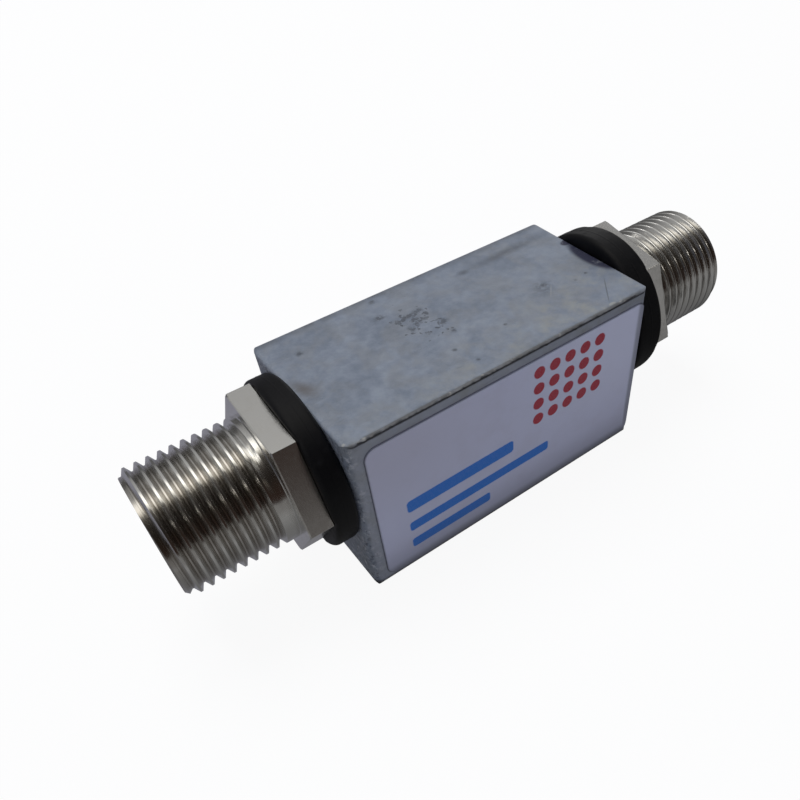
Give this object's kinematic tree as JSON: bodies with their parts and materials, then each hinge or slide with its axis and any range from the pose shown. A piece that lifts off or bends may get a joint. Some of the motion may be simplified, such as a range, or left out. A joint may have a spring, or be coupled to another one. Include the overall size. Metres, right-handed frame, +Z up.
{
  "type": "coaxial surge arrestor",
  "caption": "In-line coaxial surge arrestor: cast zinc block with threaded, hex-flanged ports, rubber sealing rings and a gas discharge tube between line and earth.",
  "frame": {"origin": "centre of the bottom face of the block, under the coax axis", "axes": "+X along the coax axis to the right port, label on -Y, +Z up"},
  "size_m": [0.0507, 0.0136, 0.0165],
  "materials": {
    "zinc_casting": "as-cast zinc alloy, satin, lightly tarnished",
    "nickel_plate": "bright nickel plate on turned brass",
    "black_rubber": "matte moulded rubber",
    "label_film": "satin white film with plain colour fields",
    "white_insulator": "moulded polyethylene",
    "contact_brass": "turned brass",
    "tube_ceramic": "fired alumina",
    "electrode_metal": "tinned nickel-iron",
    "spring_steel": "bright spring strip"
  },
  "bodies": {
    "root": {"housing": "zinc_casting", "bottom_cover": "zinc_casting", "label": "label_film", "left_port_body": "nickel_plate", "right_port_body": "nickel_plate", "left_sealing_ring": "black_rubber", "right_sealing_ring": "black_rubber", "left_front_insulator": "white_insulator", "right_front_insulator": "white_insulator", "left_rear_insulator": "white_insulator", "right_rear_insulator": "white_insulator", "left_contact": "contact_brass", "right_contact": "contact_brass", "line_bar": "contact_brass", "gas_tube_ceramic": "tube_ceramic", "gas_tube_line_electrode": "electrode_metal", "gas_tube_earth_electrode": "electrode_metal", "earth_spring": "spring_steel"}
  },
  "joints": []
}
